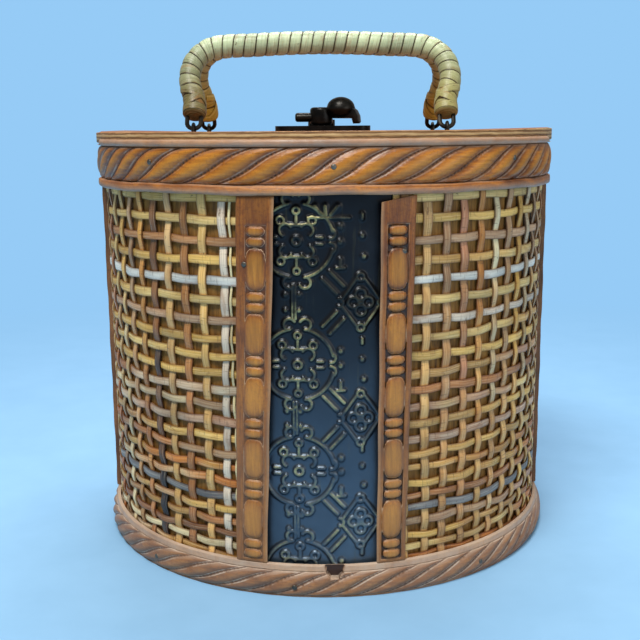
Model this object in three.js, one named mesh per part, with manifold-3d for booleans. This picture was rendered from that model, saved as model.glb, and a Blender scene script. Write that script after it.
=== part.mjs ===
// Round cane-and-wood purse that opens like a clam, in millimetres, +Z up.
// The origin is on the floor at the middle of the seam between the two half shells.
// The front half shell faces -Y, the rear one is the same half turned half a turn.
import * as THREE from 'three';
import { mergeVertices } from 'three/addons/utils/BufferGeometryUtils.js';
import Module from 'manifold-3d';

// Body
const bodyRadius = 97;
const bodyHeight = 176;
const seamGap = 0.4;
const fit = 0.3;
const caneThickness = 1.6;
const wallThickness = 1.8;
const wallFoot = 2.1;
const roundSteps = 32;
const holeSides = 10;

// Boards
const topBoardThickness = 4.6;
const topBoardLap = 1.3;
const cornerReach = 101.6;
const cornerDepth = 5;
const cornerAngle = THREE.MathUtils.degToRad(75);
const baseBoardThickness = 5;
const baseBoardHeight = 4.5;

// Top moulding, measured out from the cane and down from the top of the board
const topRimDepth = 3.0;
const topRimBead = 2.6;
const topRimReveal = 2.8;
const topRimHeight = 19.7;
const topRimFillet = 4.1;
const topRimFlute = 1.4;
const topRimStep = 0.4;
const topRimShoulder = 0.5;

// Base moulding
const baseRimDepth = 4;
const baseRimHeight = 12.5;
const baseRimLedge = 2;
const baseRimLedgeDepth = 1.6;
const baseRimUndercut = 0.9;
const baseRimShoulder = 0.6;
const baseReliefWidth = 2.6;

// Side strips, carved strips and metal panel
const postThickness = 2.3;
const postWidth = 11;
const stripThickness = 2.1;
const stripTopWidth = 13;
const stripFootWidth = 11.2;
const stripSpacingTop = 51.6;
const stripSpacingFoot = 53.4;
const frontLeanTop = 1.2;
const frontLeanFoot = -2;
const panelThickness = 0.8;

// Seam hinges under the base
const hingeInset = 42;
const hingeLength = 26;
const hingePinRadius = 0.8;
const hingeBarrelRadius = 1.7;
const hingeAxisHeight = 2;
const hingeLeafWidth = 13;
const hingeLeafThickness = 1;
const hingeMiddleShare = 0.4;

// Carrying handles
const handleCentreX = -1.5;
const handleSpread = 28;
const handleFootHalf = 53.5;
const handleShoulderHalf = 56.2;
const handleReach = 43.7;
const handleShoulderReach = 25;
const handleCornerDrop = 3;
const handleBendInset = 1.9;
const handleBendDrop = 6.6;
const handleBarInset = 8.8;
const ringReach = 7;
const handleStraight = 4;
const coreRadius = 3.3;
const caneWrap = 0.75;
const wrapClearance = 0.5;
const wrapLoops = 24;
const wrapGap = 0.9;
const wrapSteps = 10;
const barGap = 0.6;

// Wire rings and staples
const ringWireRadius = 0.95;
const ringHalfWidth = 2.9;
const stapleWireRadius = 0.7;
const stapleHalfWidth = 2.6;
const stapleDepth = 3.8;

// Turning catch
const catchX = -1.1;
const catchY = -6.2;
const plateLength = 42.3;
const plateWidth = 11;
const plateThickness = 2.2;
const studRadius = 1.5;
const studCover = 1.6;
const plateOffset = 0.6;
const screwOffset = 0.4;
const hubRadius = 5;
const hubTop = 10.2;
const hubChamfer = 1;
const tailLength = 11.7;
const tailWidth = 5;
const tailThickness = 3.3;
const tailHeight = 4.2;
const camRadius = 17.7;
const camRim = 2.3;
const camTop = 10.4;
const camUnderside = 5.4;
const camLipHeight = 3.1;
const camLipDraft = 0.6;
const camShoulder = 3;
const camCrown = 4.6;
const camRoot = 2;
const camHalfAngle = THREE.MathUtils.degToRad(27);
const thumbRadius = 6.2;
const thumbTop = 14.7;
const thumbUnderside = 6.6;
const thumbX = 8.6;
const thumbY = -2.5;
const keeperThickness = 1.4;
const keeperRibHeight = 5;
const keeperRibThickness = 1.6;
const keeperRibHalfAngle = THREE.MathUtils.degToRad(24);
const keeperWidth = 17;
const screwSpacing = 30.5;
const keeperScrewSpacing = 11;
const keeperScrewInset = 3.2;
const screwHeadRadius = 2.6;
const keeperScrewHeadRadius = 1.9;
const screwShankRadius = 1.1;
const screwLength = 4;
const screwHeadDepth = 1.1;

// Radii and heights that follow
const wallOuter = bodyRadius - caneThickness - fit;
const wallInner = wallOuter - wallThickness;
const trimInner = bodyRadius + fit;
const boardRadius = trimInner + topBoardLap;
const boardUnderside = bodyHeight - topBoardThickness;
const wallTop = boardUnderside - fit;
const wallBottom = wallFoot + fit;
const topRimBottom = bodyHeight - topRimReveal - topRimHeight;
const trimTop = topRimBottom - fit;
const trimBottom = baseRimHeight + fit;
const handleAxisHeight = bodyHeight + ringWireRadius + fit;
const wrapInner = coreRadius + wrapClearance;
const wrapOuter = wrapInner + caneWrap;
const handleLean = Math.asin((handleSpread - wrapOuter - barGap / 2) / handleReach);

const wasm = await Module();
wasm.setup();

const finishes = {
  cane: { color: 0xc9a566, roughness: 0.62, metalness: 0 },
  handleCane: { color: 0xc6c98a, roughness: 0.5, metalness: 0 },
  moulding: { color: 0xa5703f, roughness: 0.7, metalness: 0 },
  strip: { color: 0xb0733a, roughness: 0.6, metalness: 0 },
  board: { color: 0xb08b5c, roughness: 0.7, metalness: 0 },
  lining: { color: 0x8a6238, roughness: 0.8, metalness: 0 },
  panel: { color: 0x25323d, roughness: 0.38, metalness: 0.7 },
  bronze: { color: 0x15181a, roughness: 0.32, metalness: 0.8 },
  wire: { color: 0x17191b, roughness: 0.35, metalness: 0.8 },
  steel: { color: 0x6d675e, roughness: 0.5, metalness: 0.8 },
};

function solidOf(geometry) {
  const bare = geometry.clone();
  bare.deleteAttribute('normal');
  bare.deleteAttribute('uv');
  const merged = mergeVertices(bare, 1e-4);
  const mesh = new wasm.Mesh({
    numProp: 3,
    vertProperties: new Float32Array(merged.attributes.position.array),
    triVerts: new Uint32Array(merged.index.array),
  });
  return new wasm.Manifold(mesh);
}

function geometryOf(solid) {
  const mesh = solid.getMesh();
  const geometry = new THREE.BufferGeometry();
  geometry.setAttribute('position', new THREE.BufferAttribute(new Float32Array(mesh.vertProperties), 3));
  geometry.setIndex(new THREE.BufferAttribute(new Uint32Array(mesh.triVerts), 1));
  geometry.computeVertexNormals();
  return geometry;
}

function piece(name, shape, finish) {
  const geometry = shape.isBufferGeometry ? shape : geometryOf(shape);
  const mesh = new THREE.Mesh(geometry, new THREE.MeshStandardMaterial(finishes[finish]));
  mesh.name = name;
  return mesh;
}

function block(x0, x1, y0, y1, z0, z1) {
  const geometry = new THREE.BoxGeometry(x1 - x0, y1 - y0, z1 - z0);
  geometry.translate((x0 + x1) / 2, (y0 + y1) / 2, (z0 + z1) / 2);
  return geometry;
}

function upright(radius, x, y, z0, z1, sides = 20) {
  const geometry = new THREE.CylinderGeometry(radius, radius, z1 - z0, sides);
  geometry.rotateX(Math.PI / 2);
  geometry.translate(x, y, (z0 + z1) / 2);
  return geometry;
}

function turned(profile, steps) {
  const points = profile.map(([r, z]) => new THREE.Vector2(r, z));
  points.push(points[0].clone());
  const geometry = new THREE.LatheGeometry(points, steps);
  geometry.rotateX(Math.PI / 2);
  return geometry;
}

function plateOf(shape, z0, z1, curveSegments = 24) {
  const geometry = new THREE.ExtrudeGeometry(shape, {
    depth: z1 - z0,
    bevelEnabled: false,
    curveSegments,
  });
  geometry.translate(0, 0, z0);
  return geometry;
}

function roundHole(x, y, radius) {
  const hole = new THREE.Path();
  for (let i = 0; i < holeSides; i += 1) {
    const angle = -2 * Math.PI * i / holeSides;
    const px = x + radius * Math.cos(angle);
    const py = y + radius * Math.sin(angle);
    if (i === 0) {
      hole.moveTo(px, py);
    } else {
      hole.lineTo(px, py);
    }
  }
  hole.closePath();
  return hole;
}

// A slab bent round the body. Angles run from the middle of the front, and the
// two side edges may follow the height and the radius.
function bentSlab(leftEdge, rightEdge, rInner, rOuter, z0, z1, steps, rows = 1) {
  const geometry = new THREE.BoxGeometry(1, 1, 1, steps, rows, 1);
  const position = geometry.attributes.position;
  for (let i = 0; i < position.count; i += 1) {
    const across = position.getX(i) + 0.5;
    const z = z0 + (position.getY(i) + 0.5) * (z1 - z0);
    const radius = rInner + (position.getZ(i) + 0.5) * (rOuter - rInner);
    const angle = THREE.MathUtils.lerp(leftEdge(z, radius), rightEdge(z, radius), across);
    position.setXYZ(i, radius * Math.sin(angle), -radius * Math.cos(angle), z);
  }
  geometry.computeVertexNormals();
  return geometry;
}

// Edge that stands a set distance in front of the seam plane, on either side
const seamEdge = (side, distance) => (z, radius) => side * Math.acos(distance / radius);

// Edge at a set distance beside the middle of the front
const frontEdge = (offsetAt) => (z, radius) => Math.asin(offsetAt(z) / radius);

function alongHeight(atTop, atFoot) {
  return (z) => THREE.MathUtils.mapLinear(z, trimTop, trimBottom, atTop, atFoot);
}

const frontHalfSpace = solidOf(block(
  -2 * bodyRadius, 2 * bodyRadius, -2 * bodyRadius, -seamGap, -bodyHeight, 2 * bodyHeight));

// Board outline with square corners that stand out over the moulding
function boardOutline(radius, reach, inset) {
  const shape = new THREE.Shape();
  const x = radius * Math.sin(cornerAngle);
  const y = -radius * Math.cos(cornerAngle);
  const start = Math.atan2(y, -x) + Math.PI * 2;
  const end = Math.atan2(y, x) + Math.PI * 2;
  shape.moveTo(-reach, -inset);
  shape.lineTo(-reach, -cornerDepth);
  shape.lineTo(-x, y);
  shape.absarc(0, 0, radius, start, end, false);
  shape.lineTo(reach, -cornerDepth);
  shape.lineTo(reach, -inset);
  shape.closePath();
  return shape;
}

function topBoard(holes) {
  const shape = boardOutline(boardRadius, cornerReach, seamGap);
  holes.forEach((hole) => shape.holes.push(roundHole(hole.x, hole.y, hole.radius)));
  return plateOf(shape, boardUnderside, bodyHeight, roundSteps);
}

function baseBoard() {
  const shape = new THREE.Shape();
  const radius = wallInner - fit;
  const edge = Math.asin(seamGap / radius);
  shape.absarc(0, 0, radius, Math.PI + edge, Math.PI * 2 - edge, false);
  shape.closePath();
  return plateOf(shape, baseBoardHeight, baseBoardHeight + baseBoardThickness, roundSteps);
}

function topRim() {
  const outer = trimInner + topRimDepth;
  const top = bodyHeight - topRimReveal;
  const ropeTop = top - topRimBead;
  const ropeBottom = topRimBottom + topRimFillet;
  const middle = (ropeTop + ropeBottom) / 2;
  const quarter = (ropeTop - ropeBottom) / 4;
  const groove = outer - topRimFlute;
  const set = outer - topRimStep;
  const ring = solidOf(turned([
    [trimInner, topRimBottom],
    [outer - topRimStep / 2, topRimBottom],
    [outer - topRimStep / 2, ropeBottom - topRimShoulder],
    [groove, ropeBottom],
    [set, middle - quarter],
    [outer, middle],
    [set, middle + quarter],
    [groove, ropeTop],
    [set, ropeTop + topRimShoulder],
    [set, top],
    [trimInner, top],
  ], 2 * roundSteps));
  const seat = solidOf(plateOf(
    boardOutline(boardRadius + fit, cornerReach + fit, 0), wallTop, bodyHeight + 1, roundSteps));
  return ring.intersect(frontHalfSpace).subtract(seat);
}

function baseRim() {
  const outer = trimInner + baseRimDepth;
  const ledge = trimInner + baseRimLedgeDepth;
  const ropeTop = baseRimHeight - baseRimLedge;
  const ring = solidOf(turned([
    [wallInner, 0],
    [outer - baseRimUndercut, 0],
    [outer - baseRimUndercut / 9, ropeTop / 5],
    [outer, ropeTop / 2],
    [outer - baseRimShoulder, ropeTop * 0.82],
    [ledge, ropeTop],
    [ledge, baseRimHeight],
    [trimInner, baseRimHeight],
    [trimInner, wallFoot],
    [wallInner, wallFoot],
  ], 2 * roundSteps));
  const notch = new THREE.Shape();
  notch.moveTo(seamGap, -fit);
  notch.lineTo(seamGap, hingeAxisHeight + fit);
  notch.lineTo(-seamGap, hingeAxisHeight + fit);
  notch.lineTo(-baseReliefWidth, -fit);
  notch.closePath();
  const relief = new THREE.ExtrudeGeometry(notch, { depth: 4 * bodyRadius, bevelEnabled: false });
  relief.rotateX(Math.PI / 2);
  relief.rotateZ(Math.PI / 2);
  relief.translate(-2 * bodyRadius, 0, 0);
  return ring.intersect(frontHalfSpace).subtract(solidOf(relief));
}

function carvedStrip(side, lean) {
  const centre = alongHeight(
    side * stripSpacingTop / 2 + lean.top, side * stripSpacingFoot / 2 + lean.foot);
  const width = alongHeight(stripTopWidth, stripFootWidth);
  return bentSlab(
    frontEdge((z) => centre(z) - width(z) / 2), frontEdge((z) => centre(z) + width(z) / 2),
    trimInner, trimInner + stripThickness, trimBottom, trimTop, 4, 2);
}

function stripLine(side, lean, gap) {
  const centre = alongHeight(
    side * stripSpacingTop / 2 + lean.top, side * stripSpacingFoot / 2 + lean.foot);
  return frontEdge((z) => centre(z) + gap);
}

// One half shell, facing -Y
function halfShell(label, lean, boardHoles) {
  const group = new THREE.Group();
  const caneInner = wallOuter + fit;
  const name = (text) => `${label}_${text}`;
  group.add(piece(name('top_board'), topBoard(boardHoles), 'board'));
  group.add(piece(name('base_board'), baseBoard(), 'lining'));
  group.add(piece(name('wall'), bentSlab(
    seamEdge(-1, seamGap), seamEdge(1, seamGap),
    wallInner, wallOuter, wallBottom, wallTop, roundSteps), 'lining'));
  group.add(piece(name('cane_left'), bentSlab(
    seamEdge(-1, postWidth + fit), stripLine(-1, lean, -fit / 2),
    caneInner, bodyRadius, wallBottom, wallTop, roundSteps / 2, 2), 'cane'));
  group.add(piece(name('cane_right'), bentSlab(
    stripLine(1, lean, fit / 2), seamEdge(1, postWidth + fit),
    caneInner, bodyRadius, wallBottom, wallTop, roundSteps / 2, 2), 'cane'));
  group.add(piece(name('metal_panel'), bentSlab(
    stripLine(-1, lean, fit / 2), stripLine(1, lean, -fit / 2),
    caneInner, caneInner + panelThickness, wallBottom, wallTop, 8, 2), 'panel'));
  group.add(piece(name('top_moulding'), topRim(), 'moulding'));
  group.add(piece(name('base_moulding'), baseRim(), 'moulding'));
  group.add(piece(name('carved_strip_left'), carvedStrip(-1, lean), 'strip'));
  group.add(piece(name('carved_strip_right'), carvedStrip(1, lean), 'strip'));
  const postOuter = trimInner + postThickness;
  group.add(piece(name('side_strip_left'), bentSlab(
    seamEdge(-1, seamGap), seamEdge(-1, postWidth),
    caneInner, postOuter, trimBottom, trimTop, 3), 'strip'));
  group.add(piece(name('side_strip_right'), bentSlab(
    seamEdge(1, postWidth), seamEdge(1, seamGap),
    caneInner, postOuter, trimBottom, trimTop, 3), 'strip'));
  return group;
}

// Wire swept along a path with flat ends
function wire(curve, radius, sides, steps) {
  const section = new THREE.Shape();
  section.absarc(0, 0, radius, 0, Math.PI * 2, false);
  return new THREE.ExtrudeGeometry(section, {
    steps,
    extrudePath: curve,
    bevelEnabled: false,
    curveSegments: sides,
  });
}

// U-shaped path in the XZ plane: legs up from the bottom of the bow
class BowCurve extends THREE.Curve {
  constructor(halfWidth, legHeight) {
    super();
    this.halfWidth = halfWidth;
    this.leg = legHeight - halfWidth;
    this.total = 2 * this.leg + Math.PI * halfWidth;
  }

  getPoint(t, target = new THREE.Vector3()) {
    const s = t * this.total;
    const arcEnd = this.leg + Math.PI * this.halfWidth;
    if (s < this.leg) {
      return target.set(-this.halfWidth, 0, this.halfWidth + this.leg - s);
    }
    if (s > arcEnd) {
      return target.set(this.halfWidth, 0, this.halfWidth + s - arcEnd);
    }
    const angle = Math.PI + (s - this.leg) / this.halfWidth;
    return target.set(this.halfWidth * Math.cos(angle), 0, this.halfWidth * (1 + Math.sin(angle)));
  }
}

function handleLine() {
  const cornerReachZ = handleReach - handleCornerDrop;
  const right = [
    [handleFootHalf, ringReach],
    [handleFootHalf, ringReach + handleStraight],
    [(handleFootHalf + handleShoulderHalf) / 2, (ringReach + handleStraight + handleShoulderReach) / 2],
    [handleShoulderHalf, handleShoulderReach],
    [handleShoulderHalf - handleBendInset, cornerReachZ - handleBendDrop],
    [handleShoulderHalf - handleBarInset, cornerReachZ],
    [handleShoulderHalf / 2, handleReach - handleCornerDrop / 3],
    [0, handleReach],
  ];
  const left = right.slice(0, -1).map(([x, z]) => [-x, z]);
  const points = left.concat(right.slice().reverse());
  return new THREE.CatmullRomCurve3(points.map(([x, z]) => new THREE.Vector3(x, 0, z)));
}

// Flat cane wound round the handle core as one unbroken strip
function windingOf(line) {
  const length = line.getLength();
  const pitch = length / (wrapLoops + 1);
  const halfStrip = (pitch - wrapGap) / 2;
  const count = wrapLoops * wrapSteps;
  const corners = [
    [-halfStrip, wrapInner],
    [halfStrip, wrapInner],
    [halfStrip, wrapOuter],
    [-halfStrip, wrapOuter],
  ];
  const positions = [];
  const place = (s, angle, radius) => {
    const t = THREE.MathUtils.clamp(s / length, 0, 1);
    const point = line.getPointAt(t);
    const tangent = line.getTangentAt(t);
    const normal = new THREE.Vector3(-tangent.z, 0, tangent.x);
    point.addScaledVector(normal, radius * Math.cos(angle));
    point.y += radius * Math.sin(angle);
    return point;
  };
  for (let i = 0; i <= count; i += 1) {
    const turn = i / wrapSteps;
    corners.forEach(([offset, radius]) => {
      const point = place(pitch / 2 + turn * pitch + offset, 2 * Math.PI * turn, radius);
      positions.push(point.x, point.y, point.z);
    });
  }
  const index = [];
  const sides = corners.length;
  for (let i = 0; i < count; i += 1) {
    for (let j = 0; j < sides; j += 1) {
      const a = i * sides + j;
      const b = i * sides + (j + 1) % sides;
      index.push(a, a + sides, b, b, a + sides, b + sides);
    }
  }
  const last = count * sides;
  index.push(0, 1, 2, 0, 2, 3);
  index.push(last, last + 2, last + 1, last, last + 3, last + 2);
  const geometry = new THREE.BufferGeometry();
  geometry.setAttribute('position', new THREE.BufferAttribute(new Float32Array(positions), 3));
  geometry.setIndex(index);
  geometry.computeVertexNormals();
  let least = Infinity;
  for (let i = 0; i + wrapSteps <= count; i += 1) {
    [0, 3].forEach((corner) => {
      const here = new THREE.Vector3().fromArray(positions, 3 * (i * sides + (corner ? 2 : 1)));
      const next = new THREE.Vector3().fromArray(positions, 3 * ((i + wrapSteps) * sides + corner));
      least = Math.min(least, here.distanceTo(next));
    });
  }
  return { geometry, least };
}

function handle(label, side) {
  const group = new THREE.Group();
  const line = handleLine();
  const winding = windingOf(line);
  console.log(`${label} handle winding: least gap ${winding.least.toFixed(2)} mm`);
  group.add(piece(`${label}_handle_core`, wire(line, coreRadius, 4, 36), 'lining'));
  group.add(piece(`${label}_handle_winding`, winding.geometry, 'handleCane'));
  const prong = new BowCurve(ringHalfWidth, ringReach - 2 * fit);
  [-1, 1].forEach((end) => {
    const ring = wire(prong, ringWireRadius, 4, 16);
    ring.translate(end * handleFootHalf, 0, 0);
    const word = end * side < 0 ? 'left' : 'right';
    group.add(piece(`${label}_ring_${word}`, ring, 'wire'));
  });
  group.position.set(side * handleCentreX, -handleSpread, handleAxisHeight);
  group.rotation.x = -handleLean;
  return group;
}

function staples(label, side) {
  const group = new THREE.Group();
  const inside = handleAxisHeight + ringWireRadius + fit;
  const bow = new BowCurve(stapleHalfWidth, inside + stapleWireRadius - bodyHeight + stapleDepth);
  [-1, 1].forEach((end) => {
    const staple = wire(bow, stapleWireRadius, 4, 16);
    staple.rotateX(Math.PI);
    staple.rotateZ(Math.PI / 2);
    staple.translate(
      side * handleCentreX + end * handleFootHalf, -handleSpread, inside + stapleWireRadius);
    const word = end * side < 0 ? 'left' : 'right';
    group.add(piece(`${label}_staple_${word}`, staple, 'wire'));
  });
  return group;
}

function stapleHoles(side) {
  const holes = [];
  [-1, 1].forEach((end) => {
    [-1, 1].forEach((leg) => {
      holes.push({
        x: side * handleCentreX + end * handleFootHalf,
        y: -handleSpread + leg * stapleHalfWidth,
        radius: stapleWireRadius + fit,
      });
    });
  });
  return holes;
}

// Plate with round ends, drilled and countersunk for its screws
function screwedPlate(length, width, thickness, x, y, screws, headRadius) {
  const half = (length - width) / 2;
  const shape = new THREE.Shape();
  shape.absarc(x + half, y, width / 2, -Math.PI / 2, Math.PI / 2, false);
  shape.absarc(x - half, y, width / 2, Math.PI / 2, Math.PI * 1.5, false);
  shape.closePath();
  let solid = solidOf(plateOf(shape, bodyHeight, bodyHeight + thickness, 10));
  screws.forEach((screw) => {
    const sinkFloor = bodyHeight + thickness - screwHeadDepth;
    solid = solid.subtract(solidOf(upright(
      screwShankRadius + fit, screw.x, screw.y, bodyHeight - 1, bodyHeight + thickness + 1)));
    solid = solid.subtract(solidOf(upright(
      headRadius + fit, screw.x, screw.y, sinkFloor - fit, bodyHeight + thickness + 1)));
  });
  return solid;
}

function screw(x, y, thickness, headRadius) {
  const head = upright(headRadius, x, y, bodyHeight + thickness - screwHeadDepth, bodyHeight + thickness);
  const shank = upright(
    screwShankRadius, x, y, bodyHeight - screwLength, bodyHeight + thickness - screwHeadDepth / 2, 12);
  const slot = block(
    x - headRadius - 1, x + headRadius + 1, y - fit, y + fit,
    bodyHeight + thickness - screwHeadDepth / 2, bodyHeight + thickness + 1);
  return solidOf(head).add(solidOf(shank)).subtract(solidOf(slot));
}

const catchScrews = [-1, 1].map((side) => ({
  x: catchX + side * screwSpacing / 2 + screwOffset,
  y: catchY,
}));

const keeperRibRadius = camRadius - camRim - fit;
const keeperFront = seamGap + fit;
const keeperRear = catchY + keeperRibRadius + keeperScrewInset;
const keeperScrews = [-1, 1].map((side) => ({
  x: catchX + side * keeperScrewSpacing / 2,
  y: keeperFront + keeperScrewInset,
}));

function catchPlate() {
  const plate = screwedPlate(
    plateLength, plateWidth, plateThickness, catchX + plateOffset, catchY, catchScrews, screwHeadRadius);
  return plate.add(solidOf(upright(
    studRadius, catchX, catchY, bodyHeight + plateThickness / 2, bodyHeight + hubTop - studCover, 16)));
}

function sectorWedge(x, y, middle, halfAngle, reach, z0, z1) {
  const shape = new THREE.Shape();
  shape.moveTo(x, y);
  shape.lineTo(x + reach * Math.cos(middle - halfAngle), y + reach * Math.sin(middle - halfAngle));
  shape.lineTo(x + reach * Math.cos(middle + halfAngle), y + reach * Math.sin(middle + halfAngle));
  shape.closePath();
  return solidOf(plateOf(shape, z0, z1));
}

function catchLever() {
  const floor = bodyHeight + plateThickness + fit;
  const hub = solidOf(turned([
    [0, floor],
    [hubRadius, floor],
    [hubRadius, bodyHeight + hubTop - hubChamfer],
    [hubRadius - hubChamfer, bodyHeight + hubTop],
    [0, bodyHeight + hubTop],
  ], 28).translate(catchX, catchY, 0));
  const bore = solidOf(upright(
    studRadius + fit, catchX, catchY, floor - 1, bodyHeight + hubTop - studCover + fit, 16));
  const cam = solidOf(turned([
    [camRoot, bodyHeight + camUnderside],
    [camRadius - camRim, bodyHeight + camUnderside],
    [camRadius - camRim + camLipDraft, bodyHeight + camLipHeight],
    [camRadius, bodyHeight + camLipHeight],
    [camRadius - camShoulder, bodyHeight + camTop - camLipDraft],
    [camRadius - camCrown, bodyHeight + camTop],
    [camRoot, bodyHeight + hubTop - hubChamfer],
  ], 48).translate(catchX, catchY, 0));
  const wedge = sectorWedge(
    catchX, catchY, 0, camHalfAngle, camRadius * 2, bodyHeight, bodyHeight + camTop + 1);
  const tailShape = new THREE.Shape();
  const tailEnd = catchX - tailLength + tailWidth / 2;
  tailShape.moveTo(catchX, catchY + tailWidth / 2);
  tailShape.absarc(tailEnd, catchY, tailWidth / 2, Math.PI / 2, Math.PI * 1.5, false);
  tailShape.lineTo(catchX, catchY - tailWidth / 2);
  tailShape.closePath();
  const tail = solidOf(plateOf(
    tailShape, bodyHeight + tailHeight, bodyHeight + tailHeight + tailThickness, 8));
  const rise = thumbTop - thumbUnderside;
  const thumb = solidOf(turned([
    [0, bodyHeight + thumbUnderside],
    [thumbRadius * 0.78, bodyHeight + thumbUnderside],
    [thumbRadius, bodyHeight + thumbUnderside + rise * 0.3],
    [thumbRadius * 0.93, bodyHeight + thumbUnderside + rise * 0.62],
    [thumbRadius * 0.68, bodyHeight + thumbUnderside + rise * 0.87],
    [thumbRadius * 0.35, bodyHeight + thumbTop - rise * 0.03],
    [0, bodyHeight + thumbTop],
  ], 24).translate(catchX + thumbX, catchY + thumbY, 0));
  return hub.add(tail).add(cam.intersect(wedge)).add(thumb).subtract(bore);
}

function keeper() {
  const half = keeperWidth / 2;
  const plate = block(
    catchX - half, catchX + half, keeperFront, keeperRear, bodyHeight, bodyHeight + keeperThickness);
  const ribTop = bodyHeight + keeperRibHeight;
  const ring = solidOf(turned([
    [keeperRibRadius - keeperRibThickness, bodyHeight + keeperThickness / 2],
    [keeperRibRadius, bodyHeight + keeperThickness / 2],
    [keeperRibRadius, ribTop],
    [keeperRibRadius - keeperRibThickness, ribTop],
  ], 64).translate(catchX, catchY, 0));
  const wedge = sectorWedge(
    catchX, catchY, Math.PI / 2, keeperRibHalfAngle, keeperRibRadius * 2, bodyHeight, ribTop + 1);
  let solid = solidOf(plate).add(ring.intersect(wedge));
  keeperScrews.forEach((place) => {
    const sinkFloor = bodyHeight + keeperThickness - screwHeadDepth;
    solid = solid.subtract(solidOf(upright(
      screwShankRadius + fit, place.x, place.y, bodyHeight - 1, bodyHeight + keeperThickness + 1)));
    solid = solid.subtract(solidOf(upright(
      keeperScrewHeadRadius + fit, place.x, place.y, sinkFloor - fit / 2,
      bodyHeight + keeperThickness + 1)));
  });
  return solid;
}

// Butt hinge: the middle knuckle is on the front leaf, the outer two on the rear leaf
function hinge(word, x) {
  const group = new THREE.Group();
  const middle = hingeLength * hingeMiddleShare;
  const end = hingeLength / 2;
  const leafTop = baseBoardHeight - fit;
  const clear = hingeBarrelRadius + 2 * fit;
  const barrel = (x0, x1, radius) => {
    const geometry = new THREE.CylinderGeometry(radius, radius, x1 - x0, 16);
    geometry.rotateZ(Math.PI / 2);
    geometry.translate((x0 + x1) / 2, 0, hingeAxisHeight);
    return solidOf(geometry);
  };
  const leaf = (side, spans) => {
    const plate = (x0, x1, inner) => {
      const near = side * inner;
      const far = side * hingeLeafWidth;
      return solidOf(block(
        x0, x1, Math.min(near, far), Math.max(near, far), leafTop - hingeLeafThickness, leafTop));
    };
    let solid = plate(-end, end, clear);
    spans.forEach(([x0, x1]) => {
      solid = solid.add(barrel(x0, x1, hingeBarrelRadius)).add(plate(x0, x1, fit));
    });
    return solid.subtract(barrel(-end - 1, end + 1, hingePinRadius + fit));
  };
  const frontSpans = [[-middle / 2, middle / 2]];
  const rearSpans = [[-end, -middle / 2 - fit], [middle / 2 + fit, end]];
  const front = leaf(-1, frontSpans);
  const rear = leaf(1, rearSpans);
  group.add(piece(`hinge_${word}_front_leaf`, front, 'steel'));
  group.add(piece(`hinge_${word}_rear_leaf`, rear, 'steel'));
  group.add(piece(`hinge_${word}_pin`, barrel(-end, end, hingePinRadius), 'steel'));
  group.position.x = x;
  return group;
}

function purse() {
  const group = new THREE.Group();
  const screwHole = (place) => ({ x: place.x, y: place.y, radius: screwShankRadius + fit });
  const frontLean = { top: frontLeanTop, foot: frontLeanFoot };
  const rearLean = { top: 0, foot: 0 };
  const front = halfShell('front', frontLean, stapleHoles(1).concat(catchScrews.map(screwHole)));
  front.add(staples('front', 1));
  front.add(handle('front', 1));
  const turnedKeeperHoles = keeperScrews.map((place) => screwHole({ x: -place.x, y: -place.y }));
  const rear = halfShell('rear', rearLean, stapleHoles(-1).concat(turnedKeeperHoles));
  rear.add(staples('rear', -1));
  rear.add(handle('rear', -1));
  rear.rotation.z = Math.PI;
  group.add(front, rear);
  group.add(piece('catch_plate', catchPlate(), 'bronze'));
  group.add(piece('catch_lever', catchLever(), 'bronze'));
  group.add(piece('catch_keeper', keeper(), 'bronze'));
  catchScrews.forEach((place, i) => {
    const solid = screw(place.x, place.y, plateThickness, screwHeadRadius);
    group.add(piece(`catch_screw_${i + 1}`, solid, 'steel'));
  });
  keeperScrews.forEach((place, i) => {
    const solid = screw(place.x, place.y, keeperThickness, keeperScrewHeadRadius);
    group.add(piece(`keeper_screw_${i + 1}`, solid, 'steel'));
  });
  const hingeX = bodyRadius - hingeInset;
  group.add(hinge('left', -hingeX));
  group.add(hinge('right', hingeX));
  return group;
}

export default purse();
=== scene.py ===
# Round cane and wood purse that opens like a clam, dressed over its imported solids.
# Metres, +Z up, the front faces -Y, the floor is at z = 0.
import math

import bpy
import numpy as np
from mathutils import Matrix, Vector


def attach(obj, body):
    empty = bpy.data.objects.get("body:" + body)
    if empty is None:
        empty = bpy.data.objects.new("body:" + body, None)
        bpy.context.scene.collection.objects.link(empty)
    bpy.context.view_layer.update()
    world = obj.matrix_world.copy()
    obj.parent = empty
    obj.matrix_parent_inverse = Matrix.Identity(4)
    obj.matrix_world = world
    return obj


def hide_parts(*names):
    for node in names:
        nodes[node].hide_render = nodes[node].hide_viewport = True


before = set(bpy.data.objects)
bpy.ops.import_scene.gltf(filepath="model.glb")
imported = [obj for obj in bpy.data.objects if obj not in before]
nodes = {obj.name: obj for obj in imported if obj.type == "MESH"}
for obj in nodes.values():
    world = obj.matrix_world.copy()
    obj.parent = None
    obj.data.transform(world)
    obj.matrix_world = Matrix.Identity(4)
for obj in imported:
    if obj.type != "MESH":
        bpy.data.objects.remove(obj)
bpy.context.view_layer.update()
MM = 0.001
chance = np.random.default_rng(11)

# Sizes taken over from the solids, in millimetres
BODY_RADIUS = 97.0
WALL_OUTER = 95.1
TRIM_INNER = 97.3
SEAM = 0.4
HINGE_RELIEF = 3.0
TRIM_TOP, TRIM_BOTTOM = 153.2, 12.8
BODY_HEIGHT = 176.0


def paint(red, green, blue):
    """A colour as it is seen, 0 to 255, turned into the numbers a shader wants."""
    seen = [c / 255 for c in (red, green, blue)]
    return tuple(c / 12.92 if c <= 0.04045 else ((c + 0.055) / 1.055) ** 2.4 for c in seen) + (1.0,)


# Camera, light and stage

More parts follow.
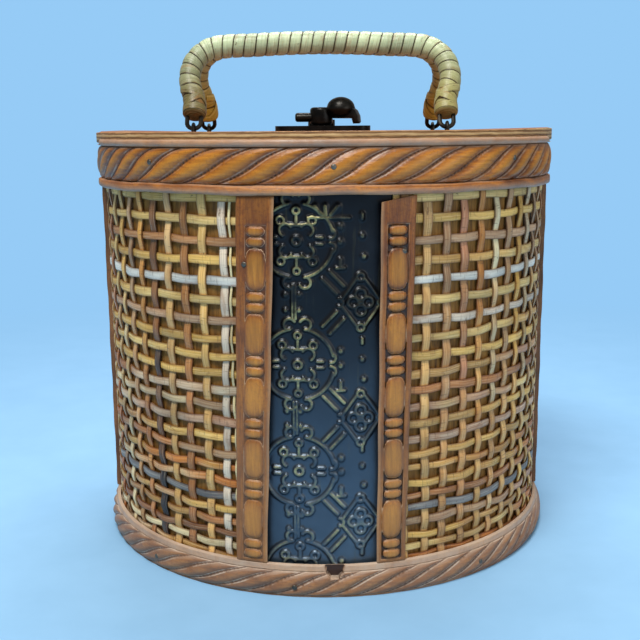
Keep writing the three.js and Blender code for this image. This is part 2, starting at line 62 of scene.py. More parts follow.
def camera():
    bpy.ops.object.camera_add(
        location=(0, -0.4421, 0.1761),
        rotation=(math.radians(78.86), 0.0072, 0))
    cam = bpy.context.object
    cam.data.sensor_width = 36
    cam.data.lens = 54.11
    cam.data.shift_x = -0.00616
    cam.data.clip_start = 0.01
    bpy.context.scene.camera = cam


def lamp(name, place, aim, width, height, power, colour=(1, 1, 1)):
    bpy.ops.object.light_add(type="AREA", location=place)
    light = bpy.context.object
    light.name = name
    light.data.shape = "RECTANGLE"
    light.data.size, light.data.size_y = width, height
    light.data.energy = power
    light.data.color = colour
    light.rotation_mode = "QUATERNION"
    light.rotation_quaternion = (Vector(aim) - Vector(place)).to_track_quat("-Z", "Y")


class Amount:
    """A number that varies over a surface, so that shader maths reads as plain sums."""

    def __init__(self, finish, socket):
        self.finish, self.socket = finish, socket

    def sum(self, operation, first, second):
        return self.finish.node("Math", {"operation": operation}, {0: first, 1: second})

    def __add__(self, other):
        return self.sum("ADD", self, other)

    def __sub__(self, other):
        return self.sum("SUBTRACT", self, other)

    def __rsub__(self, other):
        return self.sum("SUBTRACT", other, self)

    def __mul__(self, other):
        return self.sum("MULTIPLY", self, other)

    def __pow__(self, other):
        return self.sum("POWER", self, other)

    def clamped(self):
        return self.finish.node("Clamp", {}, {"Value": self})

    __radd__, __rmul__ = __add__, __mul__


class Finish:
    """One material: a Principled shader with its own texture nodes."""

    def __init__(self, name, **constants):
        self.material = bpy.data.materials.new(name)
        self.material.use_nodes = True
        self.tree = self.material.node_tree
        self.shader = self.tree.nodes["Principled BSDF"]
        for socket, value in constants.items():
            self.shader.inputs[socket.replace("_", " ")].default_value = value

    def node(self, kind, settings, inputs, output=0):
        made = self.tree.nodes.new("ShaderNode" + kind)
        for key, value in settings.items():
            if key == "stops":
                self.ramp_stops(made.color_ramp, value)
            else:
                setattr(made, key, value)
        for socket, value in inputs.items():
            if isinstance(value, Amount):
                self.tree.links.new(value.socket, made.inputs[socket])
            else:
                made.inputs[socket].default_value = value
        return Amount(self, made.outputs[output])

    def ramp_stops(self, ramp, stops):
        while len(ramp.elements) < len(stops):
            ramp.elements.new(0.5)
        for element, (place, colour) in zip(ramp.elements, stops):
            element.position = place
            element.color = colour if len(colour) == 4 else colour + (1.0,)

    def place(self, stretch=(1, 1, 1), turn=(0, 0, 0)):
        """Position on the object, stretched so that a pattern runs along the grain."""
        where = self.node("TexCoord", {}, {}, "Object")
        return self.node("Mapping", {}, {"Vector": where, "Scale": stretch, "Rotation": turn})

    def strip(self, stretch=(1, 1, 1)):
        """Position along and across a strip, from its own map."""
        where = self.node("UVMap", {"uv_map": "strip"}, {})
        return self.node("Mapping", {}, {"Vector": where, "Scale": stretch})

    def noise(self, where, scale, detail=4.0, rough=0.6, warp=0.0):
        return self.node("TexNoise", {}, {
            "Vector": where, "Scale": scale, "Detail": detail, "Roughness": rough, "Distortion": warp})

    def ramp(self, amount, *stops):
        return self.node("ValToRGB", {"stops": stops}, {"Fac": amount})

    def level(self, amount, low, high):
        """0 below low, 1 above high."""
        return self.node("MapRange", {"clamp": True}, {
            "Value": amount, "From Min": low, "From Max": high, "To Min": 0.0, "To Max": 1.0})

    def mix(self, share, first, second, blend="MIX"):
        return self.node("Mix", {"data_type": "RGBA", "blend_type": blend},
                         {0: share, 6: first, 7: second}, 2)

    def stored(self, name, output="Fac"):
        return self.node("Attribute", {"attribute_name": name}, {}, output)

    def facing_up(self):
        return self.node("SeparateXYZ", {}, {0: self.node("NewGeometry", {}, {}, "Normal")}, "Z")

    def finish(self, colour, roughness=None, height=None, relief=0.0002, metallic=None, strength=1.0):
        link = self.tree.links.new
        link(colour.socket, self.shader.inputs["Base Color"])
        if roughness is not None:
            link(roughness.socket, self.shader.inputs["Roughness"])
        if metallic is not None:
            link(metallic.socket, self.shader.inputs["Metallic"])
        if height is not None:
            bump = self.node("Bump", {}, {"Height": height, "Distance": relief, "Strength": strength})
            link(bump.socket, self.shader.inputs["Normal"])
        return self.material


# Finishes

BACKDROP = paint(150, 203, 246)


def floor_finish():
    """Pale blue sheet; far from the purse the camera sees it as the backdrop's own colour."""
    f = Finish("pale_floor", Roughness=0.8, Specular_IOR_Level=0.15)
    specks = f.noise(f.place(), 30.0, 3.0)
    colour = f.ramp(specks, (0.3, paint(144, 191, 229)), (0.7, paint(150, 197, 235)))
    away = f.node("VectorMath", {"operation": "LENGTH"}, {0: f.place()}, "Value")
    seen = f.node("LightPath", {}, {}, "Is Camera Ray")
    f.finish(colour)
    glow = f.node("Emission", {}, {"Color": BACKDROP, "Strength": 1.0})
    share = f.level(away, 0.16, 0.6) * seen
    blend = f.node("MixShader", {}, {0: share, 1: Amount(f, f.shader.outputs[0]), 2: glow})
    out = next(n for n in f.tree.nodes if n.type == "OUTPUT_MATERIAL")
    f.tree.links.new(blend.socket, out.inputs["Surface"])
    return f.material


def wood_finish(name, light, middle, dark, dust, grain=(60, 60, 6), gloss=0.42, faded=0.0):
    """Old varnished wood, with painted shade in the cuts and at the edges of carved strands and beads, painted
    highlights on their crowns, and a pale line of dust and painted highlight along the cuts. The stored 'carve'
    number is 0 in a cut and 1 on a ridge.
    """
    f = Finish(name, Coat_Roughness=0.3)
    fibre = f.noise(f.place(grain), 14.0, 6.0, 0.65, 0.6)
    blotch = f.noise(f.place(), 42.0, 3.0, 0.55)
    speck = f.noise(f.place(), 900.0, 2.0, 0.6)
    tone = f.ramp(fibre * 0.5 + blotch * 0.5,
                  (0.36, dark), (0.48, middle), (0.6, light))
    tone = f.mix(f.level(speck, 0.5, 0.68) * 0.4, tone, dark)
    stain = f.noise(f.place(), 95.0, 4.0, 0.7, 0.8)
    tone = f.mix(f.level(stain, 0.54, 0.7) * 0.5, tone, dark)
    carve, rim = f.stored("carve"), f.stored("rim")
    swell = f.stored("swell")
    # Painted shade: carved strands and beads darken towards their edges.
    tone = f.mix(rim * (1 - f.level(swell, 0.1, 0.7)) * 0.5, tone, dark)
    # Painted highlight: golden lightening on the crown of each strand and bead.
    tone = f.mix(f.level(swell, 0.5, 1.0) * 0.5, tone, f.mix(fibre, light, paint(222, 160, 60)))
    low = 1 - f.level(f.node("SeparateXYZ", {}, {0: f.node("TexCoord", {}, {}, "Object")}, "Z"), 0.03, 0.13)
    tone = f.mix(low * faded, tone, paint(196, 148, 92))
    # Painted shade: near-black in the cuts, where the stored 'carve' number is low.
    tone = f.mix((1 - f.level(carve, 0.1, 0.5)) * 0.92, tone, paint(38, 17, 7))
    # Partly dust, partly painted highlight: a pale line along the edge of each cut, patchy with the stains.
    line = f.level(carve, 0.42, 0.52) * (1 - f.level(carve, 0.58, 0.7)) * f.level(stain, 0.4, 0.6)
    tone = f.mix(line * rim * 0.7, tone, dust)
    tone = f.mix(f.stored("dust") * (stain * 0.9 + 0.1), tone, dust)
    up = f.level(f.facing_up(), 0.45, 0.95) * f.level(blotch + speck * 0.4, 0.45, 0.8)
    tone = f.mix(up * 0.5, tone, dust)
    rough = fibre * 0.25 + (gloss - 0.1) + up * 0.25
    height = fibre * 0.5 + speck * 0.3 + stain * 0.3
    return f.finish(tone, rough.clamped(), height, 0.0003)


def plywood_finish():
    """Thin layered board: plies show at the edge, faded reddish face above."""
    f = Finish("weathered_plywood", Specular_IOR_Level=0.35)
    where = f.node("TexCoord", {}, {}, "Object")
    up = f.node("SeparateXYZ", {}, {0: where}, "Z")
    fray = f.noise(f.place((30, 30, 260)), 4.0, 5.0, 0.7, 0.4)
    ply = f.node("Math", {"operation": "FRACT"}, {0: (up - 0.1714) * 620.0 + fray * 0.9})
    edge = f.ramp(ply, (0.0, paint(88, 58, 32)), (0.22, paint(172, 130, 80)),
                  (0.55, paint(204, 168, 118)), (0.8, paint(146, 100, 56)), (1.0, paint(94, 62, 34)))
    grain = f.noise(f.place((12, 160, 160)), 5.0, 6.0, 0.65, 0.5)
    face = f.ramp(grain, (0.3, paint(98, 52, 28)), (0.52, paint(138, 80, 44)),
                  (0.7, paint(166, 108, 66)))
    stain = f.noise(f.place(), 40.0, 3.0, 0.6)
    face = f.mix(f.level(stain, 0.52, 0.75) * 0.5, face, paint(176, 142, 110))
    edge = f.mix(f.level(stain, 0.52, 0.72) * 0.55, edge, paint(132, 96, 60))
    flat = f.level(f.facing_up() ** 2.0, 0.5, 0.8)
    colour = f.mix(flat, edge, face)
    return f.finish(colour, grain * 0.2 + 0.5, fray * 0.6 + grain * 0.4, 0.0004)


def cane_finish(name, gloss, tick_strength, rim=0.62):
    """Split cane: each strip has its own colour, fine grain along it and short cross cracks, and painted shade
    along its edges.
    """
    f = Finish(name, Specular_IOR_Level=0.45, Coat_Roughness=0.25)
    tint = f.stored("tint", "Color")
    fibre = f.noise(f.strip((60, 2600, 1)), 1.0, 4.0, 0.6)
    blotch = f.noise(f.strip((85, 260, 1)), 1.0, 3.0, 0.6)
    tick = f.noise(f.strip((1500, 180, 1)), 1.0, 2.0, 0.5)
    colour = f.mix(f.level(fibre, 0.42, 0.75) * 0.45, tint, paint(118, 78, 38), "MULTIPLY")
    colour = f.mix(f.level(1 - fibre, 0.5, 0.8) * 0.4, colour, paint(240, 226, 190))
    colour = f.mix(f.level(blotch, 0.55, 0.7) * 0.5, colour, paint(150, 92, 40))
    knot = f.noise(f.strip((210, 500, 1)), 1.0, 4.0, 0.75)
    colour = f.mix(f.level(knot, 0.62, 0.7) * 0.75, colour, paint(70, 42, 20))
    colour = f.mix(f.level(tick, 0.6, 0.7) * tick_strength, colour, paint(84, 54, 28))
    # Painted shade: each strip darkens towards its edges, where strips meet and tuck under one another.
    edge = f.level(f.stored("edge"), rim, 1.0)
    colour = f.mix(edge * 0.7, colour, paint(110, 70, 36), "MULTIPLY")
    return f.finish(colour, (fibre * 0.2 + gloss).clamped(),
                    fibre * 0.7 + tick * 0.5, 0.00016)


def panel_finish():
    """Pressed metal under near-black paint, rubbed to brass on the raised lines, with a painted floor
    reflection low down and painted shade along the foot of the raised lines.
    """
    f = Finish("embossed_panel", Specular_IOR_Level=0.6)
    raised = f.stored("raised")
    wear = f.noise(f.place(), 170.0, 4.0, 0.7)
    up = f.node("SeparateXYZ", {}, {0: f.node("TexCoord", {}, {}, "Object")}, "Z")
    cloud = f.noise(f.place(), 38.0, 3.0, 0.6)
    drag = f.noise(f.place((1, 1, 0.06)), 620.0, 3.0, 0.6)
    # Painted reflection: the pale floor's slate-blue reflection, strong low on the panel and fading out towards
    # the top.
    floor_reflection = f.ramp(cloud, (0.3, paint(58, 72, 86)), (0.55, paint(72, 88, 104)), (0.75, paint(88, 106, 122)))
    base = f.ramp(cloud, (0.3, paint(12, 16, 22)), (0.55, paint(19, 25, 33)), (0.75, paint(32, 40, 50)))
    base = f.mix(1 - f.level(up + cloud * 0.04, 0.062, 0.128), base, floor_reflection)
    hatch = f.level(drag, 0.58, 0.7) * f.level(cloud, 0.46, 0.66)
    base = f.mix(hatch * 0.3, base, paint(96, 92, 62))
    brass = f.ramp(wear, (0.3, paint(112, 106, 66)), (0.62, paint(206, 198, 142)))
    zone = f.level(f.noise(f.place(), 64.0, 3.0, 0.6), 0.45, 0.6)
    rubbed = f.level(raised + wear * 0.7, 1.12, 1.5) * (zone * 0.85 + 0.1)
    # Painted shade: a near-black band along the foot of each raised line.
    ridge_foot_shade = f.level(raised, 0.02, 0.3) * (1 - f.level(raised, 0.4, 0.8))
    base = f.mix(ridge_foot_shade * 0.6, base, paint(6, 8, 11))
    colour = f.mix(rubbed * 0.85, base, brass)
    rough = wear * 0.16 + cloud * 0.16 + 0.2 + rubbed * 0.15
    return f.finish(colour, rough.clamped(), wear * 0.35 + drag * 0.2, 0.00015, rubbed * 0.2 + 0.6)


def bronze_finish(name, colour, glint, gloss):
    f = Finish(name)
    cloud = f.noise(f.place(), 160.0, 4.0, 0.6)
    pit = f.noise(f.place(), 900.0, 2.0, 0.5)
    tone = f.ramp(cloud, (0.35, colour), (0.75, glint))
    rough = cloud * 0.22 + gloss
    f.shader.inputs["Metallic"].default_value = 0.85
    return f.finish(tone, rough.clamped(), pit * 0.4 + cloud * 0.6, 0.00014)


def inner_wood_finish(name, dark, middle, light):
    """Plain unvarnished wood with a fine upright grain."""
    f = Finish(name, Specular_IOR_Level=0.3)
    fibre = f.noise(f.place((50, 50, 5)), 16.0, 5.0, 0.65, 0.4)
    blotch = f.noise(f.place(), 60.0, 3.0, 0.6)
    colour = f.ramp(fibre * 0.6 + blotch * 0.4, (0.34, dark), (0.5, middle), (0.66, light))
    return f.finish(colour, fibre * 0.2 + 0.55, fibre, 0.0002)


# Modelling helpers

def deselect():
    if bpy.context.object and bpy.context.object.mode != "OBJECT":
        bpy.ops.object.mode_set(mode="OBJECT")
    bpy.ops.object.select_all(action="DESELECT")


def only(piece):
    deselect()
    piece.select_set(True)
    bpy.context.view_layer.objects.active = piece
    return piece


def points(piece):
    flat = np.empty(len(piece.data.vertices) * 3)
    piece.data.vertices.foreach_get("co", flat)
    return flat.reshape(-1, 3)


def put_points(piece, x, y, z):
    """Moves every vertex, millimetres in, metres kept."""
    flat = np.stack(np.broadcast_arrays(x, y, z), 1) * MM
    piece.data.vertices.foreach_set("co", flat.ravel())
    piece.data.update()


def outward(piece, weld=0.0):
    only(piece)
    bpy.ops.object.mode_set(mode="EDIT")
    bpy.ops.mesh.select_all(action="SELECT")
    if weld:
        bpy.ops.mesh.remove_doubles(threshold=weld)
    bpy.ops.mesh.normals_make_consistent(inside=False)
    bpy.ops.object.mode_set(mode="OBJECT")


def smooth(piece, angle=40):
    only(piece)
    bpy.ops.object.shade_smooth_by_angle(angle=math.radians(angle))


def slab_blank(name, columns, rows):
    """A flat sheet of squares, extruded once into a closed slab from z = 0 to z = 1."""
    deselect()
    bpy.ops.mesh.primitive_grid_add(x_subdivisions=columns, y_subdivisions=rows, size=1)
    piece = bpy.context.object
    piece.name = name
    bpy.ops.object.mode_set(mode="EDIT")
    bpy.ops.mesh.select_all(action="SELECT")
    bpy.ops.mesh.extrude_region_move(TRANSFORM_OT_translate={"value": (0, 0, 1)})
    bpy.ops.mesh.select_all(action="SELECT")
    bpy.ops.mesh.normals_make_consistent(inside=False)
    bpy.ops.object.mode_set(mode="OBJECT")
    return piece


def copy_of(blank, name):
    piece = blank.copy()
    piece.data = blank.data.copy()
    piece.name = name
    bpy.context.collection.objects.link(piece)
    return piece


def join(name, parts):
    deselect()
    for part in parts:
        part.select_set(True)
    bpy.context.view_layer.objects.active = parts[0]
    bpy.ops.object.join()
    parts[0].name = parts[0].data.name = name
    return parts[0]


def discard(*pieces):
    deselect()
    for piece in pieces:
        piece.select_set(True)
    bpy.ops.object.delete()


def store(piece, name, values):
    """Keeps one number or one colour for each vertex."""
    values = np.asarray(values, float)
    if values.ndim == 2:
        kept = piece.data.attributes.new(name, "FLOAT_COLOR", "POINT")
        kept.data.foreach_set("color", values.ravel())
    else:
        kept = piece.data.attributes.new(name, "FLOAT", "POINT")
        kept.data.foreach_set("value", values)


def store_map(piece, along, across):
    """A map in metres along and across the strip."""
    layer = piece.data.uv_layers.get("strip") or piece.data.uv_layers.new(name="strip")
    loops = np.empty(len(piece.data.loops), int)
    piece.data.loops.foreach_get("vertex_index", loops)
    layer.data.foreach_set("uv", np.stack([along[loops], across[loops]], 1).ravel())


def half_turn(rear, x, y):
    return (-x, -y) if rear else (x, y)


def dress(piece, finish, body, slot, *replaced):
    piece.data.materials.clear()
    piece.data.materials.append(finish)
    for face in piece.data.polygons:
        face.material_index = 0
    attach(piece, body)
    if replaced:
        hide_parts(*replaced)
    return piece


def hump(value):
    return np.sqrt(np.clip(1 - value ** 2, 0, 1))


# Woven cane

ROW_COUNT = 25
FIRST_ROW = 160.2
WOVEN_MIDDLE = 96.2
WAVE = 0.52
CANE_THICKNESS = 0.72
CANE_WIDTH = 3.5
FIRST_STAKE, STAKE_STEP, STAKE_COUNT = 18.0, 5.15, 13

STRAW = [paint(214, 168, 84), paint(226, 182, 96), paint(204, 156, 84), paint(222, 188, 116)]
MIXED = STRAW + [paint(236, 212, 160), paint(206, 152, 88), paint(182, 120, 66), paint(198, 150, 114),
                 paint(196, 118, 44), paint(212, 190, 156), paint(176, 138, 98), paint(222, 172, 100)]
GREY_WHITE, PINKISH = paint(222, 220, 208), paint(190, 150, 112)
SLATE, INK = paint(128, 124, 120), paint(52, 42, 40)
ROW_COLOURS = {
    "left": {3: paint(178, 124, 74), 5: GREY_WHITE, 7: PINKISH, 18: SLATE, 21: paint(150, 96, 52)},
    "right": {3: PINKISH, 5: GREY_WHITE, 7: paint(206, 190, 168), 19: SLATE, 14: paint(198, 160, 128)},
}
STAKE_COLOURS = {
    "left": [paint(196, 150, 92), paint(222, 204, 178), paint(222, 180, 104), paint(170, 112, 52),
             paint(214, 172, 114), paint(150, 98, 52), paint(216, 158, 74), paint(194, 158, 118),
             paint(214, 168, 86)],
    "right": [paint(190, 144, 84), paint(216, 168, 100), paint(176, 132, 90), paint(196, 132, 92),
              paint(196, 124, 44), paint(224, 206, 160), paint(184, 142, 98), paint(220, 166, 66),
              paint(188, 166, 132)],
}


def row_heights():
    steps = np.arange(ROW_COUNT) - 1
    return 152.2 - 8.0 * steps + 0.0775 * steps * (steps - 1)


def wander(position, amount, length):
    """A slow sideways drift along a strip."""
    shift = chance.uniform(0, 6.3, 3)
    return amount * (np.sin(position / length + shift[0]) * 0.6
                     + np.sin(position / length * 2.3 + shift[1]) * 0.3
                     + np.sin(position / length * 4.1 + shift[2]) * 0.15)


def cane_strip(blank, number, length, width, colours, place):
    """Bends a copy of the flat strip to its place; place(along, across) gives angle, height, radius."""
    piece = copy_of(blank, "strip")
    u, v, w = points(piece).T
    along = (u + 0.5) * length
    drifted = width * (1 + wander(along, 0.12, 14.0))
    angle, height, radius = place(along, v * drifted)
    radius = radius + (w - 0.5) * CANE_THICKNESS - (v * 2) ** 2 * 0.2 * w
    put_points(piece, radius * np.sin(angle), -radius * np.cos(angle), height)
    shade = (1 + wander(along, 0.3, 17.0))[:, None]
    near, far = (np.array(colour[:3]) for colour in colours)
    share = np.clip((u * 1.6 + 0.5 + wander(along, 0.5, 9.0)), 0, 1)[:, None]
    faded = np.clip(shade * (near * (1 - share) + far * share), 0, 1)
    store(piece, "tint", np.column_stack([faded, np.ones(len(u))]))
    store(piece, "edge", np.abs(v) * 2)
    store_map(piece, along * MM, (v * drifted + number * 37.0) * MM)
    return piece


def woven_field(label, word, blanks):
    """One field of plain over-and-under weave, seen from outside between a side strip and the panel."""
    side = -1 if word == "left" else 1
    rows = row_heights()
    parts = []
    start, end = math.radians(14.9), math.radians(83.3)
    for k, height in enumerate(rows):
        usual = STRAW if k < 10 else MIXED
        colours = [ROW_COLOURS[word].get(k, usual[chance.integers(len(usual))]) for _ in range(2)]
        drift = chance.uniform(-0.3, 0.3)

        def place(along, across, k=k, height=height, drift=drift):
            angle = start + (end - start) * along / 115.8
            count = (np.degrees(angle) - FIRST_STAKE) / STAKE_STEP
            lift = WAVE * np.cos(np.pi * (count + k))
            sway = wander(along, 0.35 + 0.035 * k, 13.0)
            return side * angle, height + across + drift + sway, WOVEN_MIDDLE + lift

        width = (CANE_WIDTH - 0.035 * k) * chance.uniform(0.9, 1.08)
        parts.append(cane_strip(blanks["row"], k, 115.8, width, colours, place))
    stakes = [FIRST_STAKE + STAKE_STEP * j for j in range(STAKE_COUNT)]
    doubled = [21.1] if word == "left" else []
    for j, degrees in enumerate(stakes + doubled):
        palette = STAKE_COLOURS[word]
        thin = j == STAKE_COUNT
        colour = paint(232, 214, 160) if thin else (
            palette[j] if j < len(palette) else MIXED[chance.integers(len(MIXED))])
        lower = INK if (word, j) == ("left", 5) else MIXED[chance.integers(len(MIXED))]
        colours = (colour, colour if thin or j == 1 else lower)
        turn = 1 if thin else j
        lean = chance.uniform(-0.6, 0.6)

        def place(along, across, degrees=degrees, turn=turn, lean=lean):
            height = 168.0 - along
            k = np.interp(height, rows[::-1], np.arange(ROW_COUNT)[::-1])
            lift = -WAVE * np.cos(np.pi * (turn + k))
            sway = wander(along, 0.55, 22.0) + lean * (along / 80.0 - 1)
            angle = math.radians(degrees) + side * (across + sway) / BODY_RADIUS
            return side * angle, height, WOVEN_MIDDLE + lift

        width = 1.0 if thin else CANE_WIDTH * chance.uniform(0.88, 1.06)
        parts.append(cane_strip(blanks["stake"], 40 + j, 162.0, width, colours, place))
    piece = join(f"{label}_woven_cane_{word}", parts)
    if label == "rear":
        x, y, z = points(piece).T / MM
        put_points(piece, -x, -y, z)
    outward(piece)
    smooth(piece, 50)
    return piece


# Embossed metal panel

ROUNDELS = [137.0, 91.0, 49.5, 8.0]
DIAMONDS = [114.3, 70.2, 29.0]
ROUNDEL_X, DIAMOND_X = -10.3, 13.0


def arc(x, z, radius, first, last, stretch=1.0):
    turn = np.radians(np.linspace(first, last, 24))
    return np.stack([x + radius * np.cos(turn), z + radius * stretch * np.sin(turn)], 1)


def line(*ends):
    return np.array(ends, float)


def roundel(x, z):
    """Ring of four cusped arcs round a cross-lobed middle."""
    for sx in (-1, 1):
        for sz in (-1, 1):
            across = [0, 180, 360][1 - sx]
            quarter = arc(0, 0, 13.6, 14, 78)
            yield quarter * (sx, sz) + (x, z), 0.55
            yield arc(12.2, 2.6, 1.9, -90, 60) * (sx, sz) + (x, z), 0.5
            yield arc(2.9, 15.2, 2.1, -60, 150) * (sx, sz) + (x, z), 0.5
            yield arc(3.9, 3.9, 2.3, -60, 150) * (sx, sz) + (x, z), 0.4
            yield line((7.2, 1.2), (9.4, 1.2)) * (sx, sz) + (x, z), 0.45
            yield arc(5.8, 7.4, 1.4, 0, 330) * (sx, sz) + (x, z), 0.35
    yield arc(x, z, 1.5, 0, 360), 0.45
    for sz in (-1, 1):
        yield line((x - 2.2, z + sz * 5.8), (x + 2.2, z + sz * 5.8)), 0.5
        yield line((x, z + sz * 6.6), (x, z + sz * 9.2)), 0.45
        yield arc(x, z + sz * 11.0, 1.2, 0, 360), 0.4


def diamond(x, z):
    """Four-lobed flower inside a diamond with curled corners."""
    for sx in (-1, 1):
        for sz in (-1, 1):
            yield line((x + sx * 6.8, z + sz * 1.4), (x + sx * 1.6, z + sz * 8.6)), 0.45
        yield arc(x + sx * 2.7, z, 1.9, 0, 360), 0.4
        yield arc(x + sx * 8.0, z, 1.5, 90, 270) if sx > 0 else arc(x + sx * 8.0, z, 1.5, -90, 90), 0.5
    for sz in (-1, 1):
        yield arc(x, z + sz * 3.0, 1.9, 0, 360), 0.4
        yield arc(x, z + sz * 9.4, 1.3, 0, 360), 0.45
    yield line((x - 0.4, z), (x + 0.4, z)), 0.8


def bars(x, z, rise):
    """Pair of slanting bars between a roundel and a diamond."""
    yield line((x - 2.9, z - 2.6 * rise), (x + 2.3, z + 2.9 * rise)), 0.6
    yield line((x - 5.6, z + 0.2 * rise), (x - 0.4, z + 5.7 * rise)), 0.6


def ornament():
    for z in ROUNDELS:
        yield from roundel(ROUNDEL_X, z)
        for step in (-5.2, 0.4):
            yield line((5.6, z + step + 4.6), (5.6, z + step + 4.9)), 0.95
        yield line((5.6, z - 9.4), (5.6, z - 6.8)), 0.7
        yield line((4.2, z - 9.9), (7.0, z - 9.9)), 0.5
        yield line((14.2, z - 6.0), (14.2, z - 5.8)), 0.9
        yield line((13.6, z + 7.8), (13.6, z + 9.6)), 0.5
        yield line((13.6, z + 1.6), (13.6, z + 1.9)), 0.8
    for z in DIAMONDS:
        yield from diamond(DIAMOND_X, z)
        yield from bars(4.6, z + 9.0, -1)
        yield from bars(4.6, z - 9.0, 1)
        for x in (-14.6, -9.6):
            yield line((x, z + 2.8), (x, z + 3.0)), 0.85
            yield line((x, z - 3.0), (x, z - 2.8)), 0.7
        yield line((-12.1, z - 6.5), (-12.1, z + 6.5)), 0.3
        yield line((-10.9, z - 6.0), (-10.9, z + 6.0)), 0.3
    for tip in (-4.6, -0.5, 4.6):
        yield line((0.6 + tip * 0.35, 146.4), (0.6 + tip * 0.9, 149.4)), 0.85
    yield line((-6.0, 145.4), (9.0, 145.2)), 0.35


def distance_to(path, x, z):
    """Least distance from each point to a path of straight runs."""
    least = np.full(x.shape, 1e9)
    for (ax, az), (bx, bz) in zip(path[:-1], path[1:]):
        dx, dz = bx - ax, bz - az
        span = dx * dx + dz * dz + 1e-9
        t = np.clip(((x - ax) * dx + (z - az) * dz) / span, 0, 1)
        least = np.minimum(least, np.hypot(x - ax - t * dx, z - az - t * dz))
    return least


def embossed_panel(label):
    deselect()
    columns, rows = 158, 520
    bpy.ops.mesh.primitive_grid_add(x_subdivisions=columns, y_subdivisions=rows, size=1)
    piece = bpy.context.object
    piece.name = f"{label}_embossed_panel"
    u, v, _ = points(piece).T
    low, high = 2.6, 170.9
    z = low + (v + 0.5) * (high - low)
    lean = np.interp(z, [TRIM_BOTTOM, TRIM_TOP], [-2.0, 1.2]) if label == "front" else 0
    half = np.interp(z, [TRIM_BOTTOM, TRIM_TOP], [26.7, 25.8]) - 0.3
    x = u * 2 * half + lean
    raised = np.zeros(len(z))
    for path, width in ornament():
        near = (z > path[:, 1].min() - 2) & (z < path[:, 1].max() + 2)
        gap = distance_to(path, x[near], z[near])
        ridge = 1 - np.clip(gap / (width * 1.5 + 0.75), 0, 1)
        raised[near] = np.maximum(raised[near], ridge * ridge * (3 - 2 * ridge))
    frayed = np.clip(raised * 1.15, 0, 1)
    dent = 0.12 * np.sin(z / 9.0 + x / 7.0) + 0.08 * np.sin(z / 3.7 - x / 5.0)
    radius = 95.6 + 0.95 * raised + dent
    angle = np.arcsin(x / radius)
    px, py = half_turn(label == "rear", radius * np.sin(angle), -radius * np.cos(angle))
    put_points(piece, px, py, z)
    store(piece, "raised", frayed)
    only(piece)
    bpy.ops.object.mode_set(mode="EDIT")
    bpy.ops.mesh.select_all(action="SELECT")
    bpy.ops.mesh.region_to_loop()
    bpy.ops.mesh.extrude_edges_move()
    bpy.ops.transform.resize(value=(0.997, 0.997, 1.0), center_override=(0, 0, 0))
    bpy.ops.object.mode_set(mode="OBJECT")
    piece = join(piece.name, [piece, panel_back(label, low, high)])
    smooth(piece, 60)
    return piece


def panel_back(label, low, high):
    """Plain curved sheet that closes the embossed panel behind."""
    piece = slab_blank("panel_back", 16, 6)
    u, v, w = points(piece).T
    z = low + (v + 0.5) * (high - low)
    lean = np.interp(z, [TRIM_BOTTOM, TRIM_TOP], [-2.0, 1.2]) if label == "front" else 0
    half = np.interp(z, [TRIM_BOTTOM, TRIM_TOP], [26.7, 25.8]) - 0.35
    radius = 95.13 + 0.22 * w
    angle = np.arcsin((u * 2 * half + lean) / radius)
    x, y = half_turn(label == "rear", radius * np.sin(angle), -radius * np.cos(angle))
    put_points(piece, x, y, z)
    store(piece, "raised", np.zeros(len(z)))
    outward(piece)
    return piece


# Carved mouldings

def spun_moulding(name, outline, steps):
    """A closed outline of radius and height, spun half way round the body from seam to seam."""
    deselect()
    bpy.ops.mesh.primitive_circle_add(vertices=len(outline), radius=1, fill_type="NGON")
    piece = bpy.context.object
    piece.name = name
    edge = math.asin(SEAM / BODY_RADIUS)
    for vertex, (radius, height) in zip(piece.data.vertices, outline):
        vertex.co = (-radius * math.cos(edge) * MM, -radius * math.sin(edge) * MM, height * MM)
    bpy.ops.object.mode_set(mode="EDIT")
    bpy.ops.mesh.select_all(action="SELECT")
    bpy.ops.mesh.spin(steps=steps, angle=2 * edge - math.pi, center=(0, 0, 0), axis=(0, 0, 1))
    bpy.ops.object.mode_set(mode="OBJECT")
    outward(piece, 1e-6)
    return piece


def rope(angle, share, pitch, lean):
    """Height of a carved rope, 0 to 1, at an angle round the body and a share of its height."""
    across = np.clip(2 * share - 1, -1, 1)
    swing = 0.5 + 0.5 * (0.7 * across + 0.3 * across ** 3)
    turn = angle * BODY_RADIUS / pitch - lean * swing + 0.12 * np.sin(angle * 7)
    return np.abs(np.sin(np.pi * turn)), hump(across) ** 0.8


